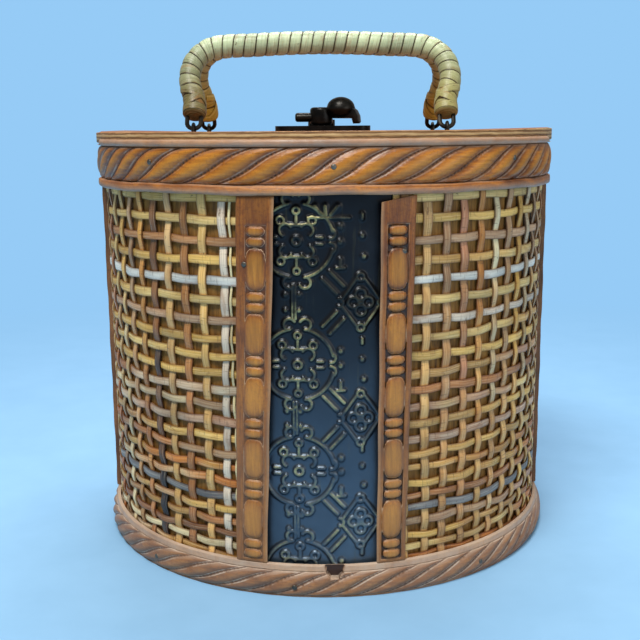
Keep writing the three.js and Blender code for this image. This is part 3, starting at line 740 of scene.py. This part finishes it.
def top_moulding(label):
    outer, top, bottom = 100.3, 173.2, 153.5
    low, high = 157.2, 170.4
    rope_rows = [low + (high - low) * (0.5 - 0.5 * math.cos(math.pi * i / 24)) for i in range(25)]
    outline = [(TRIM_INNER, bottom), (outer - 1.1, bottom), (outer - 0.35, bottom + 0.35),
               (outer - 0.2, bottom + 1.2), (outer - 0.3, bottom + 2.9), (outer - 0.9, low - 0.4)]
    outline += [(outer - 1.5, z) for z in rope_rows]
    outline += [(outer - 0.9, high + 0.35), (outer - 0.5, high + 0.9), (outer - 0.35, high + 1.7),
                (outer - 0.55, top - 0.5), (outer - 1.1, top), (98.95, top), (98.95, 171.1),
                (TRIM_INNER, 171.1)]
    piece = spun_moulding(f"{label}_rope_moulding_top", outline, 620)
    x, y, z = points(piece).T / MM
    angle, radius = np.arctan2(x, -y), np.hypot(x, y)
    share = (z - low) / (high - low)
    carved = (np.abs(radius - outer + 1.5) < 0.15) & (share > -0.001) & (share < 1.001)
    strand, swell = rope(angle, share, 13.4, 2.0)
    radius = np.where(carved, outer - 2.2 + swell * (0.3 + 1.9 * strand ** 0.7), radius)
    dust = np.where(z > high, 0.95, np.where(z < bottom + 1.3, 0.7, 0.0))
    wobble = 0.15 * np.sin(angle * 9 + 1) + 0.1 * np.sin(angle * 23)
    z = np.where(z < low, z + wobble, z)
    seat = np.abs(np.sin(angle)) * radius > 94.0
    z = np.where(seat & (z > 170.9), 170.9 + (z - 170.9) * 0.05, z)
    x, y = half_turn(label == "rear", radius * np.sin(angle), -radius * np.cos(angle))
    put_points(piece, x, y, z)
    store(piece, "carve", np.where(carved, np.minimum(strand ** 0.5, 0.1 + swell * 1.1), 0.95))
    store(piece, "swell", np.where(carved, strand * swell, 0.0))
    store(piece, "rim", np.where(carved, 1.0, 0.0))
    store(piece, "dust", dust)
    smooth(piece, 55)
    return piece


def base_moulding(label):
    outer, low, high = 101.3, 0.6, 10.1
    rope_rows = [low + (high - low) * (0.5 - 0.5 * math.cos(math.pi * i / 20)) for i in range(21)]
    outline = [(93.3, 0.0), (outer - 1.6, 0.0)]
    outline += [(outer - 1.2, z) for z in rope_rows]
    outline += [(99.1, 10.35), (98.95, 10.6), (98.95, 12.1), (98.6, 12.5), (TRIM_INNER, 12.5),
                (TRIM_INNER, 2.1), (93.3, 2.1)]
    piece = spun_moulding(f"{label}_rope_moulding_base", outline, 620)
    x, y, z = points(piece).T / MM
    angle, radius = np.arctan2(x, -y), np.hypot(x, y)
    share = (z - low) / (high - low)
    carved = (np.abs(radius - outer + 1.2) < 0.15) & (share > -0.001) & (share < 1.001)
    strand, swell = rope(angle, share, 11.4, 2.2)
    inset = 0.6 * np.clip(share, 0, 1) ** 2
    radius = np.where(carved, outer - 1.9 - inset + swell * (0.6 + 1.3 * strand ** 0.7), radius)
    notch = hump(np.clip((angle * BODY_RADIUS - 3.0) / 3.6, -1, 1)) * (label == "front")
    cut = (radius > 97.5) & (notch > 0.05) & (z > 12.3 - 4.6 * notch)
    radius = np.where(cut, 97.6, radius)
    x, y = radius * np.sin(angle), -radius * np.cos(angle)
    relief = HINGE_RELIEF * np.clip((2.35 - z) / 2.35, 0, 1) * np.clip(1 + (y + SEAM) / 12.0, 0, 1)
    x, y = half_turn(label == "rear", x, y - relief)
    put_points(piece, x, y, z)
    store(piece, "carve", np.where(carved, np.minimum(strand ** 0.5, 0.2 + swell * 1.1), 0.95) * ~cut)
    store(piece, "swell", np.where(carved, strand * swell * 0.6, 0.0))
    store(piece, "rim", np.where(carved, 1.0, 0.0))
    store(piece, "dust", np.where(z > 10.2, 0.85, 0.2) * ~cut)
    smooth(piece, 55)
    return piece


# Top boards

def top_board(label):
    """The drilled board with worn edges; its right-hand end is warped up a little."""
    only(nodes[f"{label}_top_board"])
    bpy.ops.object.duplicate()
    piece = bpy.context.object
    piece.name = f"{label}_lid_board"
    deselect()
    piece.parent = None
    only(piece)
    bpy.ops.object.mode_set(mode="EDIT")
    bpy.ops.mesh.select_all(action="SELECT")
    bpy.ops.mesh.remove_doubles(threshold=1e-6)
    bpy.ops.mesh.dissolve_limited(angle_limit=math.radians(1))
    bpy.ops.mesh.quads_convert_to_tris()
    bpy.ops.object.mode_set(mode="OBJECT")
    soft = piece.modifiers.new("worn", "BEVEL")
    soft.width, soft.segments, soft.limit_method = 0.45 * MM, 2, "ANGLE"
    soft.angle_limit = math.radians(50)
    bpy.ops.object.modifier_apply(modifier="worn")
    x, y, z = points(piece).T / MM
    turned = x if label == "front" else -x
    lift = np.clip((turned - 62.0) / 39.6, 0, 1) ** 2 * 1.2 * np.clip(-y if label == "front" else y, 0, 12) / 12
    dip = 0.15 * np.sin(turned / 9.0)
    put_points(piece, x, y, z + np.where(z > 173, lift, lift * 0.5) + np.where(z < 172, dip, 0))
    smooth(piece, 35)
    return piece


# Carved strips beside the panel

def bead_rows():
    """Foot and top of each carved bead: a long oval, then a pair of short ones, from the top down."""
    place = 142.4
    for height in (3.6, 3.6, 15.85) * 5 + (3.6, 3.6):
        yield place - height, place
        place -= height + 0.35


def carved_strip(label, word):
    side = -1 if word == "left" else 1
    piece = slab_blank(f"{label}_beaded_strip_{word}", 26, 300)
    u, v, w = points(piece).T
    low, high = 12.2, TRIM_TOP
    lean = (-2.0, 1.2) if label == "front" else (0, 0)
    z = low + (v + 0.5) * (high - low)
    if word == "right":
        z = z - np.clip((z - 148.0) / 5.2, 0, 1) * (0.5 - u) * 2.4
    spread = np.interp(z, [TRIM_BOTTOM, TRIM_TOP], [53.4, 51.6]) / 2
    centre = side * spread + np.interp(z, [TRIM_BOTTOM, TRIM_TOP], lean)
    width = np.interp(z, [TRIM_BOTTOM, TRIM_TOP], [11.2, 13.0]) + (0.9 if word == "left" else 0)
    across = u * width - (0.45 if word == "left" else 0)
    bead_half = 3.9
    depth = 0.8 if word == "right" else 0.5
    carve, dome = np.zeros(len(z)), np.zeros(len(z))
    for foot, top in bead_rows():
        middle, half = (foot + top) / 2, (top - foot) / 2
        narrow = bead_half * (0.88 if half < 4 else 1.0)
        power = 2.6 if half < 4 else 3.2
        inside = 1 - (np.abs(across) / narrow) ** power - (np.abs(z - middle) / half) ** power
        carve = np.maximum(carve, np.clip(inside * 2.4, 0, 1) ** 0.5)
        dome = np.maximum(dome, np.clip(inside, 0, 1) ** 0.6)
    plain = np.clip((np.abs(across) - bead_half * 0.97) / 0.3, 0, 1)
    block = np.maximum(np.clip((z - 142.6) / 0.5, 0, 1), np.clip((14.0 - z) / 0.5, 0, 1))
    carve = np.maximum(carve, np.maximum(plain * 0.85, block * 0.92))
    if word == "left":
        carve = 0.3 + 0.7 * carve
    edge = 1 - np.clip((np.abs(u * 2) - 0.88) / 0.12, 0, 1) ** 2 * 0.35
    outer = 99.1 - depth + depth * carve - (1 - edge) + 0.7 * dome
    radius = np.where(w > 0.5, outer, TRIM_INNER)
    ends = np.clip((high - z) / 0.5, 0, 1) * np.clip((z - low) / 0.8, 0, 1)
    radius = np.where(w > 0.5, radius - (1 - ends) * 0.5, radius)
    angle = np.arcsin((centre + across + 0.12 * np.sin(z / 6.0)) / radius)
    x, y = half_turn(label == "rear", radius * np.sin(angle), -radius * np.cos(angle))
    put_points(piece, x, y, z)
    inner = np.clip((-side * u * 2 - 0.8) / 0.15, 0, 1)
    store(piece, "carve", np.where(w > 0.5, carve, 0.6))
    store(piece, "swell", np.where(w > 0.5, np.maximum(dome, 0.45 * (plain > 0.5)), 0.3))
    store(piece, "rim", np.where(w > 0.5, 1.0, 0.0))
    store(piece, "dust", np.where(w > 0.5, inner * 0.7, 0.5))
    outward(piece)
    smooth(piece, 55)
    return piece


def side_strip(label, word):
    """Plain upright with softened, slightly wavy edges."""
    side = -1 if word == "left" else 1
    piece = slab_blank(f"{label}_side_post_{word}", 8, 60)
    u, v, w = points(piece).T
    z = TRIM_BOTTOM + (v + 0.5) * (TRIM_TOP - TRIM_BOTTOM)
    wave = 0.18 * np.sin(z / 5.3 + side) + 0.12 * np.sin(z / 2.1)
    crown = 1 - np.abs(u * 2) ** 4 * 0.5
    radius = np.where(w > 0.5, 99.6 - (1 - crown) * 0.8 + wave * 0.6, 95.4)
    inside = 11.0 + np.where(u < -0.45, wave, 0) * 0.6
    distance = SEAM + (0.5 - u) * (inside - SEAM)
    angle = side * np.arccos(distance / radius)
    x, y = half_turn(label == "rear", radius * np.sin(angle), -radius * np.cos(angle))
    put_points(piece, x, y, z)
    store(piece, "carve", np.full(len(z), 0.65))
    outward(piece)
    smooth(piece, 50)
    return piece


# Wrapped handles

HANDLE_X, HANDLE_Y, HANDLE_Z = -1.5, -28.0, 177.25
HANDLE_LEAN = math.radians(31.98)
FOOT_HALF, SHOULDER_HALF, REACH, SHOULDER_REACH, RING_REACH = 53.5, 56.2, 43.7, 25.0, 7.0


def handle_centre_line():
    """Points down the middle of a handle, in its own upright plane."""
    corner = REACH - 3.0
    straight = RING_REACH + 4.0
    right = [(FOOT_HALF, RING_REACH), (FOOT_HALF, straight),
             ((FOOT_HALF + SHOULDER_HALF) / 2, (straight + SHOULDER_REACH) / 2),
             (SHOULDER_HALF, SHOULDER_REACH), (SHOULDER_HALF - 1.9, corner - 6.6),
             (SHOULDER_HALF - 8.8, corner), (SHOULDER_HALF / 2, REACH - 1.0), (0, REACH)]
    marks = np.array([(-x, z) for x, z in right[:-1]] + right[::-1])
    marks = np.vstack([2 * marks[0] - marks[1], marks, 2 * marks[-1] - marks[-2]])
    path = []
    for before, first, last, after in zip(marks, marks[1:], marks[2:], marks[3:]):
        knots = np.cumsum([0] + [math.dist(a, b) ** 0.5 for a, b in
                                 ((before, first), (first, last), (last, after))])
        for t in np.linspace(knots[1], knots[2], 24, endpoint=False):
            a = [((knots[i + 1] - t) * p + (t - knots[i]) * q) / (knots[i + 1] - knots[i])
                 for i, (p, q) in enumerate(((before, first), (first, last), (last, after)))]
            b = [((knots[i + 2] - t) * a[i] + (t - knots[i]) * a[i + 1]) / (knots[i + 2] - knots[i])
                 for i in (0, 1)]
            path.append(((knots[2] - t) * b[0] + (t - knots[1]) * b[1]) / (knots[2] - knots[1]))
    path.append(marks[-2])
    path = np.array(path)
    run = np.concatenate([[0], np.cumsum(np.hypot(*np.diff(path, axis=0).T))])
    return run, path


def round_handle(label, along, turn, radius):
    """Point at a distance along a handle, turned round it; the handle is then leaned into place."""
    run, path = handle_centre_line()
    along = np.clip(along, 0, run[-1])
    x, z = np.interp(along, run, path[:, 0]), np.interp(along, run, path[:, 1])
    ahead, behind = np.clip(along + 0.6, 0, run[-1]), np.clip(along - 0.6, 0, run[-1])
    tx = np.interp(ahead, run, path[:, 0]) - np.interp(behind, run, path[:, 0])
    tz = np.interp(ahead, run, path[:, 1]) - np.interp(behind, run, path[:, 1])
    length = np.hypot(tx, tz)
    x = x - tz / length * radius * np.cos(turn)
    z = z + tx / length * radius * np.cos(turn)
    y = radius * np.sin(turn)
    side = -1 if label == "rear" else 1
    leaned_y = y * math.cos(HANDLE_LEAN) + z * math.sin(HANDLE_LEAN)
    leaned_z = -y * math.sin(HANDLE_LEAN) + z * math.cos(HANDLE_LEAN)
    x, y = half_turn(label == "rear", x + side * HANDLE_X, leaned_y + HANDLE_Y)
    return x, y, leaned_z + HANDLE_Z


def handle_tint(label, along, total):
    """Pale on the bar, darker and olive down the legs."""
    legs = np.clip(1.25 - np.minimum(along, total - along) / 34.0, 0, 1)[:, None]
    bar = np.array(paint(194, 212, 170)[:3])
    if label == "rear":
        leg = np.array(paint(188, 156, 56)[:3])
    else:
        left = (along < total / 2)[:, None]
        leg = np.where(left, paint(104, 96, 52)[:3], paint(152, 148, 90)[:3])
    return bar * (1 - legs) + leg * legs


def handle_wrap(label):
    """Flat cane wound closely round the core, one strip from end to end."""
    run, _ = handle_centre_line()
    total, turns = run[-1], 34
    pitch = total / (turns + 0.3)
    piece = slab_blank(f"{label}_handle_wrap", turns * 28, 4)
    u, v, w = points(piece).T
    number = (u + 0.5) * turns
    uneven = 0.35 * np.sin(np.floor(number) * 12.7) * hump(2 * (number % 1) - 1)
    along = pitch * 0.4 + number * pitch * 0.995 + v * (pitch * 0.93) + uneven * 0.4
    seated = 3.75 + w * (0.8 + 0.07 * hump(2 * v)) - 0.14 * np.abs(v * 2) ** 8 * w
    x, y, z = round_handle(label, along, 2 * np.pi * number, seated)
    put_points(piece, x, y, z)
    whole = np.floor(number + 0.25).astype(int)
    shade = 1 + (0.16 * np.sin(whole * 7.3) + 0.08 * np.sin(number * 5.0))
    tint = np.clip(handle_tint(label, along, total) * shade[:, None], 0, 1)
    store(piece, "tint", np.column_stack([tint, np.ones(len(u))]))
    store(piece, "edge", np.abs(v) * 2)
    store_map(piece, number * 26 * MM, v * pitch * MM)
    outward(piece)
    smooth(piece, 50)
    return piece


def crossed_binding(label, blank, start, rise, first, last, width=3.4):
    """Short flat strip that crosses a handle's end at a slant."""
    piece = copy_of(blank, "binding")
    u, v, w = points(piece).T
    slant = math.atan2(rise, math.radians(last - first) * 4.9)
    along = start + (u + 0.5) * rise + v * width * math.cos(slant)
    turn = np.radians(first + (u + 0.5) * (last - first)) - v * width * math.sin(slant) / 4.9
    radius = 4.55 + w * 0.55 * (1 - 0.3 * np.abs(2 * v) ** 3)
    x, y, z = round_handle(label, along, turn, radius)
    put_points(piece, x, y, z)
    run, _ = handle_centre_line()
    tint = np.clip(handle_tint(label, along, run[-1]) * 1.12, 0, 1)
    store(piece, "tint", np.column_stack([tint, np.ones(len(u))]))
    store(piece, "edge", np.abs(v) * 2)
    store_map(piece, u * 22 * MM, v * width * MM)
    return piece


def end_cap(label, foot, way):
    """Cane folded in over the end of the core, a shallow dome."""
    deselect()
    bpy.ops.mesh.primitive_uv_sphere_add(segments=32, ring_count=12, radius=1)
    piece = bpy.context.object
    x, y, z = points(piece).T
    run, path = handle_centre_line()
    end = 0 if way > 0 else -1
    spread = 4.9 * np.hypot(x, y)
    px, py, pz = round_handle(label, np.full(len(x), 0.0 if way > 0 else run[-1]),
                              np.arctan2(y, x), spread)
    drop = np.where(z < 0, z * 1.3, z * 0.6)
    py = py + drop * math.sin(HANDLE_LEAN) * (1 if label == "front" else -1)
    put_points(piece, px, py, pz + drop * math.cos(HANDLE_LEAN))
    run, _ = handle_centre_line()
    place = np.full(len(x), 3.0 if way > 0 else run[-1] - 3.0)
    tint = np.clip(handle_tint(label, place, run[-1]) * 0.8, 0, 1)
    store(piece, "tint", np.column_stack([tint, np.ones(len(x))]))
    store(piece, "edge", np.zeros(len(x)))
    store_map(piece, np.arctan2(y, x) * 4.9 * MM, spread * MM)
    return piece


def handle_bindings(label):
    run, _ = handle_centre_line()
    blank = slab_blank("binding_blank", 24, 3)
    parts = []
    for foot, way in ((0.6, 1), (run[-1] - 0.6, -1)):
        parts.append(crossed_binding(label, blank, foot + way, way * 11.0, -250, -20))
        parts.append(crossed_binding(label, blank, foot + way * 11.0, -way * 10.0, -240, 10))
        parts.append(crossed_binding(label, blank, foot + way * 0.9, way * 0.3, 0, 359, 3.0))
        parts.append(end_cap(label, foot - way * 1.1, way))
    discard(blank)
    piece = join(f"{label}_handle_bindings", parts)
    outward(piece)
    smooth(piece, 50)
    return piece


# Turning catch

def cast(name, kind, place, size, turn=(0, 0, 0), bevel=0.6, segments=3, **shape):
    """One solid lump of the casting: a primitive at its place, with softened edges."""
    deselect()
    add = getattr(bpy.ops.mesh, f"primitive_{kind}_add")
    add(location=tuple(c * MM for c in place), rotation=turn, **shape)
    piece = bpy.context.object
    piece.name = name
    piece.scale = tuple(c * MM for c in size)
    bpy.ops.object.transform_apply(location=True, rotation=True, scale=True)
    if bevel:
        soft = piece.modifiers.new("soft", "BEVEL")
        soft.width, soft.segments, soft.limit_method = bevel * MM, segments, "ANGLE"
        bpy.ops.object.modifier_apply(modifier="soft")
    return piece


CATCH_X, CATCH_Y = -1.1, -6.2


def catch_lever():
    z = BODY_HEIGHT
    hub = cast("hub", "cylinder", (CATCH_X, CATCH_Y, z + 6.35), (5, 5, 3.85),
               bevel=1.4, segments=4, vertices=48, radius=1, depth=2)
    tail = cast("tail", "cylinder", (CATCH_X - 6.2, CATCH_Y, z + 5.9), (2.0, 2.6, 5.4),
                (0, math.pi / 2, 0), bevel=1.1, segments=4, vertices=32, radius=1, depth=2)
    piece = join("catch_lever_cast", [hub, tail, thumb_dome(z), cam_sector(z)])
    outward(piece)
    smooth(piece, 42)
    return piece


def thumb_dome(z):
    deselect()
    bpy.ops.mesh.primitive_uv_sphere_add(segments=40, ring_count=24, radius=1)
    piece = bpy.context.object
    x, y, h = points(piece).T
    flat = np.where(h < 0, -np.abs(h) ** 0.8 * 4.4, h * 4.6)
    lip = 1 + 0.06 * np.clip(1 - np.abs(h + 0.1) * 4, 0, 1)
    put_points(piece, CATCH_X + 8.6 + x * 6.1 * lip, CATCH_Y - 2.5 + y * 6.1 * lip, z + 10.0 + flat)
    return piece


def cam_sector(z):
    """Curved cam with a hanging lip, spun round the stud through its own angle."""
    outline = [(2.0, 5.4), (15.2, 5.4), (15.9, 3.1), (17.0, 3.1), (17.6, 3.9), (17.3, 6.5),
               (16.2, 8.8), (14.6, 10.0), (12.5, 10.4), (8.0, 10.0), (4.0, 9.2), (2.0, 9.0)]
    deselect()
    bpy.ops.mesh.primitive_circle_add(vertices=len(outline), radius=1, fill_type="NGON")
    piece = bpy.context.object
    spread = math.radians(27)
    for vertex, (radius, height) in zip(piece.data.vertices, outline):
        vertex.co = ((CATCH_X + radius * math.cos(spread)) * MM,
                     (CATCH_Y - radius * math.sin(spread)) * MM, (z + height) * MM)
    bpy.ops.object.mode_set(mode="EDIT")
    bpy.ops.mesh.select_all(action="SELECT")
    bpy.ops.mesh.spin(steps=20, angle=-2 * spread, center=(CATCH_X * MM, CATCH_Y * MM, 0), axis=(0, 0, 1))
    bpy.ops.object.mode_set(mode="OBJECT")
    outward(piece, 1e-6)
    soft = piece.modifiers.new("soft", "BEVEL")
    soft.width, soft.segments, soft.limit_method = 0.4 * MM, 2, "ANGLE"
    soft.angle_limit = math.radians(50)
    bpy.ops.object.modifier_apply(modifier="soft")
    return piece


# Nails

def nail_blank():
    deselect()
    bpy.ops.mesh.primitive_uv_sphere_add(segments=14, ring_count=8, radius=1)
    piece = bpy.context.object
    x, y, z = points(piece).T
    piece.data.vertices.foreach_set("co", (np.stack([x, y, z * 0.45], 1)).ravel())
    return piece


def nails(label, blank):
    """Small nail heads through the strips and the mouldings; each is (x, height, radius of the body there)."""
    spots = [(-29.5, 128.5, 99.2), (-27.2, 81.3, 99.2), (-29.0, 33.0, 99.2),
             (28.9, 133.0, 99.2), (25.4, 82.7, 99.2), (25.2, 31.0, 99.2),
             (-66.0, 165.0, 100.0), (3.4, 163.6, 100.1), (73.0, 165.5, 100.0),
             (-12.5, 4.4, 101.0), (-70.0, 5.0, 101.0), (62.0, 5.0, 101.0)]
    parts = []
    for x, z, radius in spots:
        part = copy_of(blank, "nail")
        px, py, pz = points(part).T
        size = 1.05
        angle = math.asin(x / radius)
        out, side = radius + pz * size, px * size
        nx = out * math.sin(angle) + side * math.cos(angle)
        ny = -out * math.cos(angle) + side * math.sin(angle)
        nx, ny = half_turn(label == "rear", nx, ny)
        put_points(part, nx, ny, z + py * size)
        parts.append(part)
    piece = join(f"{label}_nails", parts)
    outward(piece)
    smooth(piece, 60)
    return piece


# Put it together

scene = bpy.context.scene
scene.view_settings.view_transform = "Standard"

camera()
lamp("key", (-0.25, -0.6, 1.15), (0, 0, 0.1), 0.5, 0.35, 13.5, (1.0, 0.98, 0.94))
lamp("fill", (0.8, -0.7, 0.4), (0, 0, 0.09), 0.6, 0.6, 2.4, (1.0, 0.98, 0.95))
lamp("top", (0.05, 0.35, 0.9), (0, 0, 0.1), 0.6, 0.4, 5.5, (0.97, 0.98, 1.0))

world = bpy.data.worlds.new("studio")
scene.world = world
world.use_nodes = True
air = world.node_tree
rays = air.nodes.new("ShaderNodeLightPath")
seen = air.nodes.new("ShaderNodeMix")
seen.data_type = "RGBA"
seen.inputs[6].default_value = (0.3, 0.3, 0.3, 1)
seen.inputs[7].default_value = BACKDROP
air.links.new(rays.outputs["Is Camera Ray"], seen.inputs[0])
air.links.new(seen.outputs[2], air.nodes["Background"].inputs["Color"])

deselect()
bpy.ops.mesh.primitive_plane_add(size=6, location=(0, 1.5, 0))
bpy.ops.object.transform_apply(location=True, rotation=False, scale=False)
floor = bpy.context.object
floor.name = "floor"
floor.data.materials.append(floor_finish())

rope_wood = wood_finish("rope_moulding_wood", paint(190, 116, 26), paint(150, 84, 20),
                        paint(92, 46, 13), paint(186, 160, 138), (7, 7, 60), 0.34)
base_wood = wood_finish("faded_moulding_wood", paint(168, 110, 52), paint(136, 82, 36),
                        paint(94, 52, 22), paint(208, 190, 170), (7, 7, 60), 0.44)
strip_wood = wood_finish("carved_strip_wood", paint(176, 108, 34), paint(138, 76, 24),
                         paint(84, 42, 15), paint(190, 158, 124), (60, 60, 5), 0.36, 0.22)
post_wood = wood_finish("side_strip_wood", paint(146, 98, 54), paint(118, 76, 40),
                        paint(84, 52, 26), paint(160, 130, 102), (60, 60, 5), 0.46)
plywood = plywood_finish()
# The backing's colours sit darker than the board's own golden brown: partly its real tone, partly painted shade
# for the gaps seen between the woven strips.
backing = inner_wood_finish("backing_board", paint(74, 46, 17), paint(132, 90, 36), paint(164, 118, 56))
core_wood = inner_wood_finish("handle_core_wood", paint(40, 34, 20), paint(66, 56, 32), paint(90, 78, 46))
weave_cane = cane_finish("woven_cane", 0.42, 0.5)
handle_cane = cane_finish("handle_cane", 0.28, 0.2, 0.8)
panel_metal = panel_finish()
bronze = bronze_finish("dark_bronze", paint(20, 21, 22), paint(46, 44, 40), 0.22)
wire_metal = bronze_finish("blackened_wire", paint(34, 33, 31), paint(66, 60, 52), 0.3)
nail_metal = bronze_finish("nail_head", paint(70, 66, 60), paint(128, 122, 112), 0.3)
hinge_metal = bronze_finish("dull_steel", paint(92, 86, 76), paint(132, 124, 108), 0.4)

for name, node in nodes.items():
    if "handle_core" in name:
        finish = core_wood
    elif "wall" in name or "base_board" in name:
        finish = backing
    elif "top_board" in name:
        finish = plywood
    elif "staple" in name or "ring" in name:
        finish = wire_metal
    elif "hinge" in name:
        finish = hinge_metal
    else:
        finish = bronze
    node.data.materials.clear()
    node.data.materials.append(finish)

blanks = {"row": slab_blank("row_blank", 84, 3), "stake": slab_blank("stake_blank", 120, 3)}
nail = nail_blank()
for label in ("front", "rear"):
    shell, grip = f"{label}_shell", f"{label}_handle"
    for word in ("left", "right"):
        dress(woven_field(label, word, blanks), weave_cane, shell, "cane", f"{label}_cane_{word}")
        dress(carved_strip(label, word), strip_wood, shell, "strip_wood", f"{label}_carved_strip_{word}")
        dress(side_strip(label, word), post_wood, shell, "strip_wood", f"{label}_side_strip_{word}")
    dress(embossed_panel(label), panel_metal, shell, "embossed_metal", f"{label}_metal_panel")
    dress(top_board(label), plywood, shell, "plywood", f"{label}_top_board")
    dress(top_moulding(label), rope_wood, shell, "moulding_wood", f"{label}_top_moulding")
    dress(base_moulding(label), base_wood, shell, "moulding_wood", f"{label}_base_moulding")
    dress(nails(label, nail), nail_metal, shell, "dark_wire")
    dress(handle_wrap(label), handle_cane, grip, "handle_cane", f"{label}_handle_winding")
    dress(handle_bindings(label), handle_cane, grip, "handle_cane")
dress(catch_lever(), bronze, "catch_lever", "dark_bronze", "catch_lever")
discard(nail, *blanks.values())
